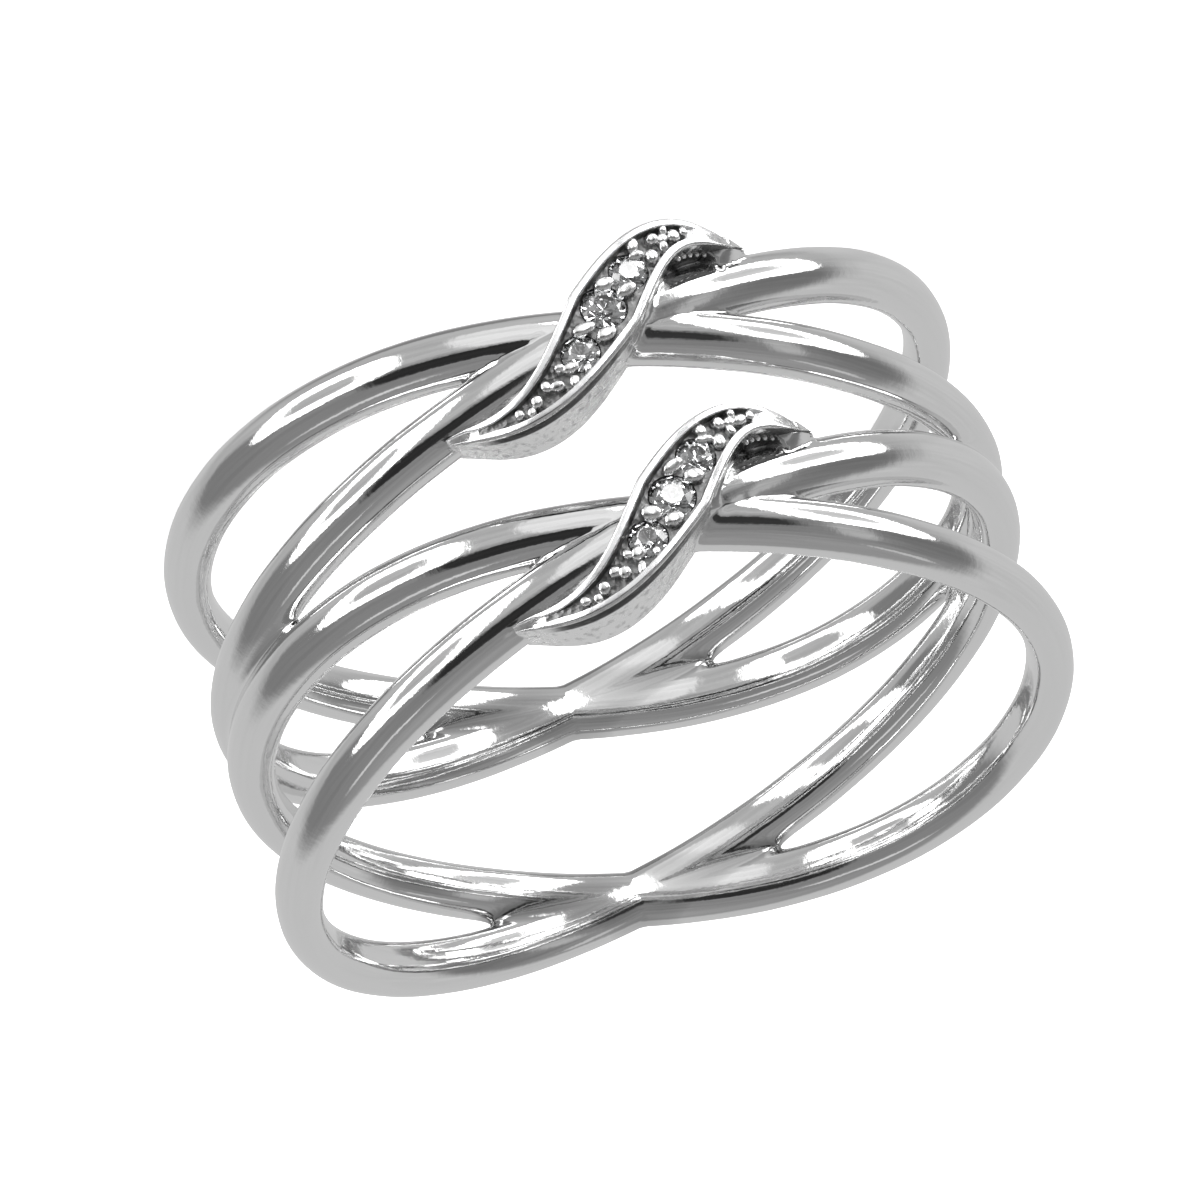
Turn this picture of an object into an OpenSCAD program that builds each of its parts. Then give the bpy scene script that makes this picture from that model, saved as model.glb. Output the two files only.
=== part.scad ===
// Double infinity ring: two bands of two crossing wires, joined to each other along their sides.
// Each band's front crossing carries a raised S plate set with three round stones.
// The ring lies on its side, with the finger hole's axis nearly upright and the plates facing -Y.

/* [Ring] */
// Inside diameter of the finger hole
inner_d = 17.3; // [15:0.1:20]
// Width of a wire, measured across its run
wire_w = 1.36; // [1.3:0.02:1.5]
// Thickness of a wire, from its inside to its outside
wire_t = 1.06; // [1:0.02:1.2]
// How far the over wire swings to each side of its band's middle
wave_h = 1.9; // [1.7:0.02:2]
// How much flatter the under wire's crests are, as a share of its swing
crest_flat = 0.08; // [0.06:0.01:0.12]
// How far the over wire stands out above the under wire at the front crossing
over_lift = 0.12; // [0:0.02:0.2]
// How far the two bands sink into each other where they are joined
joint_bite = 0.06; // [0.04:0.01:0.14]
// Lean of each band towards the other at the front, in degrees
band_lean = 0.6; // [0.4:0.05:0.8]
// How far the upper band sits back from the lower one
band_slip = 0.36; // [0:0.02:0.4]

/* [S plate] */
// Width of the plate at its middle
plate_w = 1.6; // [1.56:0.02:1.7]
// Height of the plate's middle above the wires
plate_rise = 0.88; // [0.8:0.02:1]
// How far the S swings to each side of its band's middle
plate_h = 1.75; // [1.7:0.01:1.8]
// Angle round the ring from the plate's middle to where the S turns back
plate_bend = 15.9; // [15.6:0.1:16.4]
// Angle round the ring from the plate's middle to its tip
plate_reach = 23.5; // [23:0.1:24.4]
// Width of the bright rim along each edge
rim_w = 0.2; // [0.16:0.01:0.24]
// Depth of the trough between the rims
trough_d = 0.25; // [0.2:0.01:0.3]

/* [Stones] */
// Girdle diameter of the middle stone
mid_stone_d = 1.04; // [0.9:0.01:1.06]
// Girdle diameter of the two end stones
end_stone_d = 0.88; // [0.8:0.01:0.9]
// Angle round the ring between neighbouring stones
stone_step = 4.7; // [4.6:0.05:5]
// Gap between a stone and its seat
seat_gap = 0.03; // [0.02:0.005:0.04]

/* [Resting place] */
// Tilt about X at which the ring comes to rest, in degrees
rest_tilt = 1.16; // [1:0.02:1.3]
// Roll about Y at which the ring comes to rest, in degrees
rest_roll = 0.46; // [0.3:0.02:0.6]

/* [Hidden] */
STONES = [for (band = [-1, 1], place = [-1, 0, 1]) [band, place]];

inner_r = inner_d / 2;
wire_r = inner_r + wire_t / 2;
outer_r = inner_r + wire_t;
band_pitch = wave_h * (2 - crest_flat) + wire_w - joint_bite;

// Stations round a wire and points round its section
wire_stations = 64;
section_points = 12;
// Power that shapes the section's inner half, which is flatter than the domed outer half
inside_power = 0.85;
// The over wire's lift fades out at this angle from the crossing
lift_reach = 30;

// The plate narrows and sinks towards its tips by these powers
narrowing_power = 1.1;
sinking_power = 2.2;
plate_stations = 28;
tip_half_w = 0.05;
edge_bevel = 0.05;
tip_bevel_share = 0.33;
trough_slope = 0.06;
trough_full_half_w = 0.3;
least_trough_share = 0.3;
plate_foot = 0.25;
tip_lean = 0.1;

// Grains that hold the stones: angle from the middle, distance across, diameter
GRAIN_ROWS = [
    [2.35, 0.28, 0.26],
    [7, 0.22, 0.24],
    [8.9, 0.17, 0.2],
    [10.7, 0.11, 0.18],
    [12.5, 0, 0.18]
];
grain_h = 0.2;
grain_sink = 0.1;
grain_top_share = 0.5;
grain_sides = 10;

// Cut of the stones: sides of the table, and shares of the girdle diameter
stone_sides = 8;
table_share = 0.56;
star_share = 0.78;
crown_share = 0.15;
star_height_share = 0.1;
girdle_share = 0.04;
pavilion_share = 0.43;
// The girdle's upper edge lies this far under the trough's floor
girdle_sink = 0.02;
seat_facets = 24;
seat_cut_h = 1;

// The joint fills the groove between the bands over this angle to each side
joint_reach = 17;
joint_stations = 8;
joint_t = 0.62;
joint_overlap = 0.16;
joint_tip_share = 0.35;
CORNERS = [[1, -1], [1, 1], [-1, 1], [-1, -1]];

function degrees(radians) = radians * 180 / PI;
function on_ring(phi, z, r) = [r * sin(phi), -r * cos(phi), z];
function lean(p, band) =
    [p.x, p.y * cos(band * band_lean) - p.z * sin(band * band_lean),
     p.y * sin(band * band_lean) + p.z * cos(band * band_lean)];
function band_middle(band) = band / 2 * [0, band_slip, band_pitch];
function in_band(p, band) = lean(p, band) + band_middle(band);

// A point at a distance across and above a line that runs round the ring with the given slope
function beside(phi, z, r, slope, across, above) =
    let (run = sqrt(1 + slope * slope))
    on_ring(phi - degrees(across * slope / run / r), z + across / run, r + above);

// Wires
function wave(phi, over) = over ? sin(phi) : -sin(phi) - crest_flat * sin(3 * phi);
function wave_rate(phi, over) = over ? cos(phi) : -cos(phi) - 3 * crest_flat * cos(3 * phi);
function from_front(phi) = abs(phi > 180 ? phi - 360 : phi);
function lift(phi, over) =
    over && from_front(phi) < lift_reach ? over_lift * pow(cos(90 * from_front(phi) / lift_reach), 2) : 0;
function power(x, p) = sign(x) * pow(abs(x), p);
function section_across(a) = wire_w / 2 * (a > 180 ? power(cos(a), inside_power) : cos(a));
function section_above(a) = wire_t / 2 * (a > 180 ? power(sin(a), inside_power) : sin(a));
function wire_ring(phi, over) =
    [for (j = [0 : section_points - 1])
        let (a = 360 * j / section_points, r = wire_r + lift(phi, over))
        beside(phi, wave_h * wave(phi, over), r, wave_h * wave_rate(phi, over) / r,
            section_across(a), section_above(a))];

// S plate, with its place along the S as t from -1 at one tip to 1 at the other
function plate_phi(t) = plate_reach * t;
function plate_z(t) = plate_h * sin(90 * plate_phi(t) / plate_bend);
function plate_slope(t) = plate_h * cos(90 * plate_phi(t) / plate_bend) * 90 / plate_bend / outer_r;
function plate_half_w(t) = (plate_w / 2 - tip_half_w) * (1 - pow(abs(t), narrowing_power)) + tip_half_w;
function plate_top(t) = outer_r + plate_rise * (1 - pow(abs(t), sinking_power));
function trough_half_w(t) = max(plate_half_w(t) - rim_w, least_trough_share * plate_half_w(t));
function trough_depth(t) = trough_d * min(1, trough_half_w(t) / trough_full_half_w);
function plate_half_section(t) =
    let (w = plate_half_w(t), top = plate_top(t), inner = trough_half_w(t), depth = trough_depth(t))
    [[w, inner_r + plate_foot], [w, top - edge_bevel], [w - min(edge_bevel, w * tip_bevel_share), top],
     [inner, top], [inner * (1 - trough_slope), top - depth]];
function plate_section(t) =
    let (half = plate_half_section(t), n = len(half))
    concat(half, [for (i = [n - 1 : -1 : 0]) [-half[i].x, half[i].y]]);
function plate_ring(t) =
    [for (p = plate_section(t))
        let (tilt = tip_lean * pow(t, 3) * p.x / plate_half_w(t))
        beside(plate_phi(t), plate_z(t), outer_r, plate_slope(t), p.x, p.y - outer_r - tilt)];

// Solder between the bands at a side of the finger hole, with its place as t from -1 to 1
joint_z = -wave_h * crest_flat / 2;
function joint_gap(phi) = band_pitch - wave_h * (wave(phi, true) - wave(phi, false)) - wire_w;

// A closed skin through rings of points, joined end to end or capped
module skin(rings, closed) {
    n = len(rings);
    m = len(rings[0]);
    steps = closed ? n : n - 1;
    sides = [for (i = [0 : steps - 1], j = [0 : m - 1])
        let (here = i * m, next = (i + 1) % n * m, k = (j + 1) % m)
        each [[here + j, next + j, here + k], [here + k, next + j, next + k]]];
    caps = closed ? [] : [[for (j = [0 : m - 1]) j], [for (j = [m - 1 : -1 : 0]) (n - 1) * m + j]];
    polyhedron([for (ring = rings) each ring], concat(sides, caps));
}

module wire(band, over) {
    skin([for (i = [0 : wire_stations - 1])
        [for (p = wire_ring(360 * i / wire_stations, over)) in_band(p, band)]], true);
}

module plate(band) {
    skin([for (i = [0 : plate_stations])
        [for (p = plate_ring(2 * i / plate_stations - 1)) in_band(p, band)]], false);
}

// Moves its children to a place on a plate's floor, with +Z pointing out of the ring
module on_plate(band, phi, across) {
    t = phi / plate_reach;
    slope = plate_slope(t);
    run = sqrt(1 + slope * slope);
    translate(band_middle(band))
        rotate([band * band_lean, 0, 0])
            rotate([0, 0, phi - degrees(across * slope / run / outer_r)])
                translate([0, trough_depth(t) - plate_top(t), plate_z(t) + across / run])
                    rotate([90, 0, 0])
                        children();
}

module grain(d) {
    hull() {
        translate([0, 0, -grain_sink])
            cylinder(h = grain_sink + grain_h / 2, d = d, $fn = grain_sides);
        cylinder(h = grain_h, d = d * grain_top_share, $fn = grain_sides);
    }
}

module grains(band) {
    for (row = GRAIN_ROWS, end = [-1, 1], side = row[1] == 0 ? [0] : [-1, 1])
        on_plate(band, end * row[0], side * row[1])
            grain(row[2]);
}

function stone_d(place) = place == 0 ? mid_stone_d : end_stone_d;

// A seat cuts the plate from the stone's culet up past its table
module seat(d) {
    depth = girdle_share * d + girdle_sink;
    side = d / 2 + seat_gap;
    tip = depth + pavilion_share * d + seat_gap;
    rotate_extrude($fn = seat_facets)
        polygon([[0, -tip], [side, -depth], [side, seat_cut_h], [0, seat_cut_h]]);
}

// Points spaced evenly round a circle at a height
function circle_points(d, count, start, z) =
    [for (i = [0 : count - 1])
        let (a = start + 360 * i / count)
        [d / 2 * cos(a), d / 2 * sin(a), z]];

// A round cut stone: table, stars and kites, girdle and pavilion, with its girdle's top at z = 0
module stone(d) {
    points = concat(
        circle_points(d * table_share, stone_sides, 0, crown_share * d),
        circle_points(d * star_share, stone_sides, 180 / stone_sides, star_height_share * d),
        circle_points(d, 2 * stone_sides, 0, 0),
        circle_points(d, 2 * stone_sides, 0, -girdle_share * d),
        [[0, 0, -(girdle_share + pavilion_share) * d]]);
    hull()
        polyhedron(points, [[for (i = [0 : len(points) - 1]) i]]);
}

module side_joint(side) {
    skin([for (i = [-joint_stations : joint_stations])
        let (t = i / joint_stations, phi = 90 + joint_reach * t)
        joint_ring(side, phi, joint_t / 2 * (1 - (1 - joint_tip_share) * t * t))], false);
}

function joint_ring(side, phi, half_t) =
    let (half_w = joint_gap(phi) / 2 + joint_overlap, z = side * joint_z)
    [for (corner = CORNERS)
        on_ring(side * phi, z + side * corner.x * half_w, wire_r + corner.y * half_t)];

module double_band() {
    color("silver")
        difference() {
            union() {
                for (band = [-1, 1]) {
                    wire(band, true);
                    wire(band, false);
                    plate(band);
                    grains(band);
                }
                for (side = [-1, 1])
                    side_joint(side);
            }
            for (s = STONES)
                on_plate(s[0], s[1] * stone_step, 0)
                    seat(stone_d(s[1]));
        }
}

module set_stone(index) {
    s = STONES[index];
    color("aliceblue")
        on_plate(s[0], s[1] * stone_step, 0)
            translate([0, 0, -girdle_sink])
                stone(stone_d(s[1]));
}

// A point's place once the ring has tilted to rest, before it is moved onto the floor
function settled(p) =
    let (y = p.y * cos(rest_tilt) - p.z * sin(rest_tilt), z = p.y * sin(rest_tilt) + p.z * cos(rest_tilt))
    [p.x * cos(rest_roll) + z * sin(rest_roll), y, z * cos(rest_roll) - p.x * sin(rest_roll)];
settled_wires = [for (band = [-1, 1], over = [true, false], i = [0 : wire_stations - 1])
    each [for (p = wire_ring(360 * i / wire_stations, over)) settled(in_band(p, band))]];
settled_plates = [for (band = [-1, 1], i = [0 : plate_stations])
    each [for (p = plate_ring(2 * i / plate_stations - 1)) settled(in_band(p, band))]];
front_y = min([for (p = settled_plates) p.y]);
back_y = max([for (p = settled_wires) p.y]);
floor_z = min([for (p = settled_wires) p.z]);

// Lays the ring on its side, with the origin on the floor under the middle of its box
module at_rest() {
    translate([0, -(front_y + back_y) / 2, -floor_z])
        rotate([rest_tilt, rest_roll, 0])
            children();
}

at_rest() double_band();
at_rest() set_stone(0);  // stone_1
at_rest() set_stone(1);  // stone_2
at_rest() set_stone(2);  // stone_3
at_rest() set_stone(3);  // stone_4
at_rest() set_stone(4);  // stone_5
at_rest() set_stone(5);  // stone_6
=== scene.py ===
"""Looks of a double infinity ring: polished white metal, set stones, a pale floor and soft light."""
import math
import random

import bmesh
import bpy
import numpy as np
from mathutils import Matrix, Vector

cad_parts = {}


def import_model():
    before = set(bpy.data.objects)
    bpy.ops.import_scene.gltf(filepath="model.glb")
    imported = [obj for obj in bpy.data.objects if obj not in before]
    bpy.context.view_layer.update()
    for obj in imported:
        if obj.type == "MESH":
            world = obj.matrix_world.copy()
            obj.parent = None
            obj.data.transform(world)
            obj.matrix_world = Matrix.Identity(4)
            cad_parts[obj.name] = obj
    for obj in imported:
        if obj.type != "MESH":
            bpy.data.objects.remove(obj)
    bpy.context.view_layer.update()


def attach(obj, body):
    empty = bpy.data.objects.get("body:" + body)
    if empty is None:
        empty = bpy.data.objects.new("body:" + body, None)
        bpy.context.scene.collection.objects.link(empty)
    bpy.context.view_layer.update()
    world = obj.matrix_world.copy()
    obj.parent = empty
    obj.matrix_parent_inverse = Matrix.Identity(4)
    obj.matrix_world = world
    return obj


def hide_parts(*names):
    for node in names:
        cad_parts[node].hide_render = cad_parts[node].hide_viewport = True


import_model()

# Sizes of the ring, in millimetres
MM = 0.001
INNER_D = 17.3
WIRE_W = 1.36
WIRE_T = 1.06
INSIDE_POWER = 0.85
WAVE_H = 1.9
CREST_FLAT = 0.08
OVER_LIFT = 0.12
LIFT_REACH = math.radians(30)
JOINT_BITE = 0.06
BAND_LEAN = math.radians(0.6)
BAND_SLIP = 0.36
REST_TILT = math.radians(1.16)
REST_ROLL = math.radians(0.46)

INNER_R = INNER_D / 2
WIRE_R = INNER_R + WIRE_T / 2
OUTER_R = INNER_R + WIRE_T
BAND_PITCH = WAVE_H * (2 - CREST_FLAT) + WIRE_W - JOINT_BITE
BANDS = (-1, 1)

# S plate
PLATE_W = 1.64
PLATE_RISE = 0.88
# Figures of the tails: the upper right one in the photograph is at -1, the lower left one at 1
TAIL_H = {-1: 1.51, 1: 1.65}
TAIL_BEND = {-1: math.radians(12.4), 1: math.radians(14.1)}
TAIL_REACH = {-1: math.radians(23.0), 1: math.radians(24.9)}
TAIL_DROP = {-1: -1.08, 1: 0.78}
NARROWING_POWER = 1.1
SINKING_POWER = 2.2
TIP_HALF_W = 0.05
TIP_LEAN = 0.1
RIM_W = 0.2
TROUGH_D = 0.25
TROUGH_FULL_HALF_W = 0.3
LEAST_TROUGH_SHARE = 0.3
# The bare end of each tail, as a share of its reach: how long, and how deep it is hollowed
BARE_TIP = {-1: 0.28, 1: 0.18}
TIP_RECESS = {-1: 0.006, 1: 0.045}
TIP_RECESS_RATIO = 5
TIP_TROUGH_SHARE = 0.6
BARE_FADE = 0.6
TROUGH_RUN_OUT = 0.12
# Where the trough's floor near a bare end takes the rims' brighter material, with its painted highlight
BRIGHT_END = {-1: 0.12, 1: 0.0}
BRIDGE = 0.03
PLATE_FOOT = 0.25
PLATE_STATIONS = 150
FOOT_EDGE = 0.04
# The rims' rounded edges, each no larger than its share of the rim's width and of the trough's depth
OUTER_EDGE_R = 0.08
OUTER_EDGE_SHARE = 0.45
INNER_EDGE_R = 0.03
INNER_EDGE_SHARE = 0.2
INNER_EDGE_DEPTH = 0.7
EDGE_STEPS = 5
# Points of the half section: the wall, the rim's two rounded edges and the trough
WALL_SHARES = (0.3, 0.6, 0.79, 0.83)
FLOOR_SHARES = ((0.94, 1.0), (0.6, 1.05), (0.25, 1.07))
WALL_END = 2 + len(WALL_SHARES)
RIM_START = WALL_END + 3
RIM_END = WALL_END + 2 * (EDGE_STEPS + 1)
# The plates' material slots, and where the upper right tip's rims end
RIM, WALL, TROUGH = range(3)
TIP_RIM_END = -0.82
PLATE_NUMBER = {-1: 1, 1: 2}
SHARP_ANGLE = math.radians(38)

# Stones and grains
STONE_D = {-1: 0.88, 0: 1.04, 1: 0.88}
STONE_STEP = math.radians(4.7)
SEAT_GAP = 0.03
GIRDLE_SINK = 0.02
GIRDLE_SHARE = 0.04
CROWN_SHARE = 0.15
TABLE_SHARE = 0.5
PAVILION_SHARE = 0.43
# Where the facets of the crown and of the pavilion meet, as shares of the radius and of the height
CROWN_CORNER = (0.8, 0.52)
PAVILION_CORNER = (0.24, 0.76)
SEAT_SIDES = 48
SEAT_TOP = 1.0
STONE_TWIST = 13
# How far each stone sits askew, in degrees towards +X
STONE_TILT = {1: 5.5, 2: -5.0, 3: 3.0, 4: 0.0, 5: 1.0, 6: 3.0}
# How far a stone sits off its place: round the ring in degrees, and across the plate
STONE_SLIP = {2: (-0.35, -0.06)}
# Beads: angle from the plate's middle in degrees, place across, width across and length along it
BEADS = (
    (-2.5, -0.3, 0.4, 0.27),
    (-2.6, 0.2, 0.42, 0.26),
    (2.6, -0.2, 0.42, 0.27),
    (2.3, 0.3, 0.38, 0.28),
    (6.4, 0.02, 0.3, 0.24),
    (7.2, -0.17, 0.2, 0.18),
    (5.9, 0.36, 0.16, 0.2),
    (9.0, 0.05, 0.26, 0.24),
    (9.8, -0.14, 0.22, 0.24),
    (7.8, 0.3, 0.18, 0.3),
    (11.7, -0.03, 0.24, 0.26),
    (13.1, 0.1, 0.18, 0.2),
    (14.6, 0.0, 0.2, 0.2),
    (-6.7, -0.08, 0.32, 0.18),
    (-7.4, -0.3, 0.24, 0.34),
    (-7.5, 0.2, 0.24, 0.3),
    (-9.3, -0.14, 0.23, 0.25),
    (-10.4, -0.02, 0.25, 0.22),
    (-9.7, 0.17, 0.17, 0.24),
    (-12.0, 0.02, 0.26, 0.25),
    (-11.2, -0.2, 0.16, 0.2),
    (-13.6, -0.02, 0.17, 0.2),
)
BEAD_SPREAD = 1.3
BEAD_HEIGHT = 0.18
BEAD_LIFT = 0.06
# How unlike each other the beads are. They wander in degrees, and turn and lean in radians
BEAD_SEED = 7
BEAD_WANDER = 0.2
BEAD_TURN = 0.5
BEAD_LEAN = 0.2
BEAD_HEIGHTS = (0.85, 1.1)
BEAD_BEND = 0.12
BEAD_FLATNESS = 0.3
# A row of small dots in the hollow beside the tail: from and to, as shares of its reach, and how many
VALLEY_DOTS = (-0.52, -0.82, 6)
VALLEY_DOT_R = 0.065
VALLEY_DOT_DROP = 0.42

# Fillets where the metal is joined; the one between a band's wires grows towards the back
FRONT_FILLET = 0.08
BACK_FILLET = 0.55
BACK_ZONE = (math.radians(60), math.radians(120))
SIDE_FILLET = 0.4
PLATE_FILLET = 0.26

# The metal under a plate: its walls, and the hidden floor between them that leaves room for the seats
PLATE_INSET = 0.05
WALL_MARGIN = 0.3
FLOOR_DROP = 0.02
FLOOR_SLOPE = 0.7
FLOOR_EASE = 0.82
FLOOR_RISE = 0.5
# Where the upper right tip runs into the wire, and how far and how steeply it spreads there
TIP_MERGE = (0.72, 0.92)
TIP_SPREAD = 0.45
PAST_TIP = 0.999
SKIRT_SLOPE = 0.75
# The valley between each tail and the wire beside it, closed by a low web
VALLEY_START = 0.42
WEB_ONSET = 0.8
WEB_REACH = 0.25
WEB_TOP = (9.45, 9.25)

# Unevenness of the polished metal, of the solder beside the plates and of the wires' crotches
POLISH_RIPPLE = 0.006
POLISH_LENGTH = 2.6
SOLDER_RIPPLE = 0.035
SOLDER_LENGTH = 0.55
SOLDER_WIDTH = 0.35
SOLDER_FADE = (math.radians(20), math.radians(12))
SOLDER_BIAS = 0.4
CROTCH_RIPPLE = 0.018
CROTCH_WIDTH = 0.25
LUMPY_SIDE = (WIRE_R - 0.1, WIRE_R + 0.2)

# Wear and painted shade: the lines left by drawing and polishing, and painted shade in the crotches and
# hollows that no polishing wheel reaches
LINES_FADE = (0.05, 0.35)
HOLLOW_WIDTH = 0.4
HOLLOW_ZONE = (math.radians(90), math.radians(140))
VALLEY_WIDTH = 0.3
VALLEY_SHADE_ZONE = (0.75 * VALLEY_START, 1.2 * VALLEY_START)
SHADED_SIDE = (WIRE_R - 0.2, WIRE_R + 0.1)
SHADE_END = 0.99
# Painted shade on the plates' walls: in the valley beside a tail, and a painted shadow in a line under
# the right rim
VALLEY_SHADE = 0.66
VALLEY_SHADE_FADE = (0.7 * VALLEY_START, 1.2 * VALLEY_START)
LINE_START = (0.0, 0.15)
LINE_END = (0.85, 0.7)

# The grid on which the metal's skin is found, its reach, and how its points are pulled onto the surface
STEP_ALONG = 0.18
STEP_ACROSS = 0.07
STEP_OUT = 0.07
SKIN_REACH = 5.5
SKIN_R = (8.1, 10.7)
PULLS = 3
LONGEST_PULL = 0.03
LEAST_STEEPNESS = 0.2
SLOPE_STEP = 0.002
# How often the grid is looked through for corners that only touch, and how deep they are then filled
PINCH_ROUNDS = 4
PINCH_DEPTH = 0.01
# Where most of a noise's values lie
NOISE_LOW = 0.3
NOISE_HIGH = 0.7
# The search for the nearest place on a line: its steps, the longest one, and how far across it counts
NEAREST_STEPS = 4
LONGEST_STEP = 0.1
FARTHEST_ACROSS = 3
# How finely the ring's lowest and foremost points are looked for
REST_STATIONS = 721
REST_SECTION = 25
REST_TOPS = 201


def smooth_step(x, low, high):
    """Rises softly from 0 to 1 between two values, or falls where the first is the larger."""
    t = np.clip((x - low) / (high - low), 0, 1)
    return t * t * (3 - 2 * t)


def on_ring(phi, z, r):
    """Points from their angle, which is 0 at the front and grows towards +X, height and radius."""
    return np.stack([r * np.sin(phi), -r * np.cos(phi), z], -1)


def tilt_x(points, angle):
    """Points turned about X."""
    x, y, z = np.moveaxis(points, -1, 0)
    c = math.cos(angle)
    s = math.sin(angle)
    return np.stack([x, y * c - z * s, y * s + z * c], -1)


def band_middle(band):
    return band / 2 * np.array([0, BAND_SLIP, BAND_PITCH])


def in_band(points, band):
    """From a band's own frame to the ring's."""
    return tilt_x(points, band * BAND_LEAN) + band_middle(band)


def of_band(points, band):
    """From the ring's frame to a band's own."""
    return tilt_x(points - band_middle(band), -band * BAND_LEAN)


def beside(phi, z, r, slope, across, above):
    """A point across and above a line that runs round the ring with the given slope."""
    run = np.sqrt(1 + slope * slope)
    return on_ring(phi - across * slope / run / r, z + across / run, r + above)


# Lines of the wires and of the S plates
def wire_height(phi, over):
    if over:
        return WAVE_H * np.sin(phi)
    return -WAVE_H * (np.sin(phi) + CREST_FLAT * np.sin(3 * phi))


def wire_slope(phi, over):
    if over:
        return WAVE_H * np.cos(phi) / WIRE_R
    return -WAVE_H * (np.cos(phi) + 3 * CREST_FLAT * np.cos(3 * phi)) / WIRE_R


def wire_lift(phi, over):
    if not over:
        return 0 * phi
    near = np.clip(np.abs(phi) / LIFT_REACH, 0, 1)
    return OVER_LIFT * np.cos(np.pi / 2 * near) ** 2


def of_tail(figures, phi):
    """The figure that holds for the tail on which a place lies."""
    return np.where(phi < 0, figures[-1], figures[1])


def plate_height(phi):
    share = phi / of_tail(TAIL_REACH, phi)
    turn = np.pi / 2 * phi / of_tail(TAIL_BEND, phi)
    return of_tail(TAIL_H, phi) * np.sin(turn) + of_tail(TAIL_DROP, phi) * share**4


def plate_slope(phi):
    reach = of_tail(TAIL_REACH, phi)
    turn = np.pi / 2 / of_tail(TAIL_BEND, phi)
    wave = of_tail(TAIL_H, phi) * np.cos(turn * phi) * turn
    return (wave + 4 * of_tail(TAIL_DROP, phi) * (phi / reach) ** 3 / reach) / OUTER_R


def plate_half_w(t):
    return (PLATE_W / 2 - TIP_HALF_W) * (1 - np.abs(t) ** NARROWING_POWER) + TIP_HALF_W


def plate_top(t):
    return OUTER_R + PLATE_RISE * (1 - np.abs(t) ** SINKING_POWER)


def trough_half_w(t):
    bare = smooth_step(1 - np.abs(t), of_tail(BARE_TIP, t), BARE_FADE * of_tail(BARE_TIP, t))
    least = LEAST_TROUGH_SHARE + (TIP_TROUGH_SHARE - LEAST_TROUGH_SHARE) * bare
    return np.maximum(plate_half_w(t) - RIM_W, least * plate_half_w(t))


def trough_depth(t):
    bare = of_tail(BARE_TIP, t)
    run_out = smooth_step(1 - np.abs(t), bare, bare + TROUGH_RUN_OUT)
    depth = TROUGH_D * np.minimum(1, trough_half_w(t) / TROUGH_FULL_HALF_W) * run_out
    return np.maximum(depth, np.minimum(of_tail(TIP_RECESS, t), plate_half_w(t) / TIP_RECESS_RATIO))


# Distance fields of wires and plates: each gives a distance and the direction in which it grows
def beside_line(phi, z, radius, height, slope, reach=None):
    """The nearest place on a line round the ring, how far across it points lie, and its slope there."""
    near = phi
    for _ in range(NEAREST_STEPS):
        k = slope(near)
        step = (radius * (phi - near) + (z - height(near)) * k) / (1 + k * k) / radius
        near = near + np.clip(step, -LONGEST_STEP, LONGEST_STEP)
        if reach is not None:
            near = np.clip(near, *reach)
    k = slope(near)
    across = (z - height(near) - k * radius * (phi - near)) / np.sqrt(1 + k * k)
    return near, np.clip(across, -FARTHEST_ACROSS, FARTHEST_ACROSS), k


def ring_direction(across, outward, slope):
    """A direction along the run, across the ring and outwards, from one beside a sloping line."""
    run = np.sqrt(1 + slope * slope)
    return np.stack([-across * slope / run, across / run, outward], -1)


def wire_place(phi, z, r, over):
    """How far along, across and above a wire's middle line points lie, and the line's slope there."""
    near, u, slope = beside_line(
        phi, z, WIRE_R, lambda p: wire_height(p, over), lambda p: wire_slope(p, over)
    )
    return near, u, r - WIRE_R - wire_lift(near, over), slope


def wire_field(phi, z, r, over):
    """A wire with a domed outside and a flatter inside."""
    _, u, v, slope = wire_place(phi, z, r, over)
    a = WIRE_W / 2
    b = WIRE_T / 2
    e = np.where(v < 0, 2 / INSIDE_POWER, 2.0)
    x = np.abs(u) / a
    y = np.abs(v) / b
    size = np.maximum((x**e + y**e) ** (1 / e), 1e-4)
    across = np.sign(u) * (x / size) ** (e - 1) / a
    outward = np.sign(v) * (y / size) ** (e - 1) / b
    steepness = np.sqrt(across**2 + outward**2)
    return (size - 1) / steepness, ring_direction(across / steepness, outward / steepness, slope)


def plate_place(phi, z):
    """The nearest place on a plate's line, how far across it points lie, its slope and its share."""
    reach = (-TAIL_REACH[-1], TAIL_REACH[1])
    near, u, slope = beside_line(phi, z, OUTER_R, plate_height, plate_slope, reach)
    return near, u, slope, near / of_tail(TAIL_REACH, near)


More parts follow.
